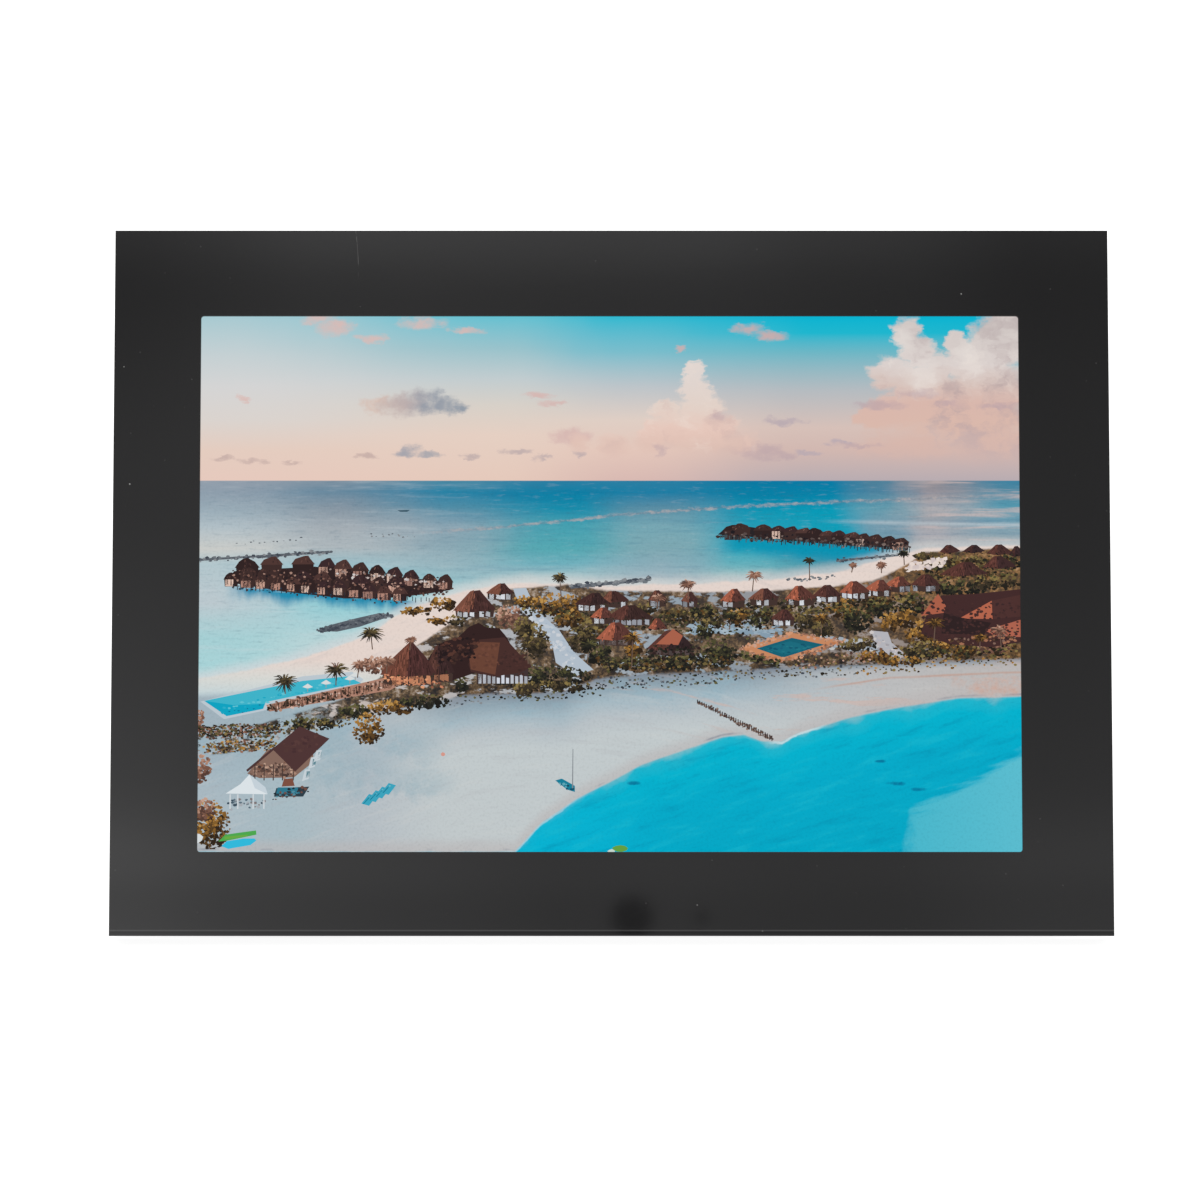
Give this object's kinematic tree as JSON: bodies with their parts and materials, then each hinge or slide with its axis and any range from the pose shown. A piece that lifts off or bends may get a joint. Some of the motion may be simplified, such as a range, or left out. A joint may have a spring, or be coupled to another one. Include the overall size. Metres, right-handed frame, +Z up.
{
  "type": "digital photo frame",
  "caption": "Wide flat black digital photo frame with a lit colour display, rear keys, side sockets, keyhole wall hangers and a folding easel leg.",
  "frame": {"origin": "middle of the footprint on the table, under the centre of the box around the standing frame", "axes": "+X to the viewer's right along the long side, +Y from the picture towards the back, +Z up"},
  "size_m": [0.261, 0.0828, 0.1792],
  "materials": {
    "face_black": "satin black, very fine texture",
    "foam_black": "closed-cell foam",
    "pressed_steel": "plated pressed sheet",
    "screen_film": "clear film over a lit picture",
    "panel_glass": "thin flat glass",
    "white_plastic": "moulded white",
    "clear_plastic": "clear moulded sheet",
    "lamp_board": "white lamp strip",
    "lamp_yellow": "yellow lamp domes",
    "circuit_green": "green lacquered board",
    "amber_film": "amber flexible film",
    "black_sheet": "thin black sheet",
    "ribbon_white": "flat white ribbon",
    "chip_black": "moulded chip case",
    "fin_aluminium": "extruded and brushed",
    "copper_film": "printed aerial film",
    "chip_tan": "ceramic and solder",
    "cell_steel": "coin cell can",
    "zinc_steel": "zinc-plated steel",
    "jack_black": "moulded black",
    "contact_metal": "plated contact",
    "speaker_metal": "pressed and painted",
    "cone_grey": "pressed paper",
    "wire_red": "insulated wire",
    "button_black": "fine matte key caps",
    "cover_black": "spark-textured moulded black",
    "screw_black": "black-oxide steel",
    "foot_rubber": "dull soft rubber"
  },
  "bodies": {
    "frame": {"front_frame": "face_black", "panel_gasket": "foam_black", "speaker_gaskets": "foam_black", "panel_bezel": "pressed_steel", "backlight_tray": "pressed_steel", "panel_brackets": "pressed_steel", "hanger_plates": "pressed_steel", "usb_socket": "pressed_steel", "card_socket": "pressed_steel", "wifi_module": "pressed_steel", "screen_polariser": "screen_film", "panel_glass": "panel_glass", "panel_frame": "white_plastic", "diffuser_sheet": "white_plastic", "reflector_sheet": "white_plastic", "ribbon_connector": "white_plastic", "usb_tongue": "white_plastic", "prism_sheet": "clear_plastic", "light_guide": "clear_plastic", "led_strip": "lamp_board", "backlight_leds": "lamp_yellow", "driver_board": "circuit_green", "main_board": "circuit_green", "button_board": "circuit_green", "driver_flex": "amber_film", "insulation_sheet": "black_sheet", "panel_ribbon": "ribbon_white", "button_ribbon": "ribbon_white", "main_processor": "chip_black", "memory_chips": "chip_black", "button_switches": "chip_black", "battery_holder": "chip_black", "power_inductors": "chip_black", "heat_sink": "fin_aluminium", "board_capacitors": "fin_aluminium", "wifi_antenna": "copper_film", "chip_parts": "chip_tan", "clock_battery": "cell_steel", "bracket_screws": "zinc_steel", "board_screws": "zinc_steel", "stand_hinge_pin": "zinc_steel", "dc_jack": "jack_black", "dc_contact": "contact_metal", "hinge_washers": "contact_metal", "speaker_left": "speaker_metal", "speaker_right": "speaker_metal", "speaker_cones": "cone_grey", "speaker_leads": "wire_red", "rear_cover": "cover_black", "rear_cover_screws": "screw_black", "bottom_feet": "foot_rubber"},
    "stand": {"stand_leg": "cover_black", "stand_foot_pad": "foot_rubber"},
    "power_key": {"power_button": "button_black"},
    "menu_key": {"menu_button": "button_black"},
    "back_key": {"back_button": "button_black"},
    "left_key": {"left_button": "button_black"},
    "right_key": {"right_button": "button_black"},
    "play_key": {"play_button": "button_black"}
  },
  "joints": [
    {"name": "stand_fold", "type": "hinge", "parent": "frame", "child": "stand", "pos_m": [0, 0.01348, 0.10951], "axis": [-1, 0, 0], "range_deg": [0, 31]},
    {"name": "power_press", "type": "slide", "parent": "frame", "child": "power_key", "axis": [0, -0.9511, 0.309], "range_m": [0, 0.0004], "stiffness_N_per_m": 3000},
    {"name": "menu_press", "type": "slide", "parent": "frame", "child": "menu_key", "axis": [0, -0.9511, 0.309], "range_m": [0, 0.0004], "stiffness_N_per_m": 3000},
    {"name": "back_press", "type": "slide", "parent": "frame", "child": "back_key", "axis": [0, -0.9511, 0.309], "range_m": [0, 0.0004], "stiffness_N_per_m": 3000},
    {"name": "left_press", "type": "slide", "parent": "frame", "child": "left_key", "axis": [0, -0.9511, 0.309], "range_m": [0, 0.0004], "stiffness_N_per_m": 3000},
    {"name": "right_press", "type": "slide", "parent": "frame", "child": "right_key", "axis": [0, -0.9511, 0.309], "range_m": [0, 0.0004], "stiffness_N_per_m": 3000},
    {"name": "play_press", "type": "slide", "parent": "frame", "child": "play_key", "axis": [0, -0.9511, 0.309], "range_m": [0, 0.0004], "stiffness_N_per_m": 3000}
  ]
}
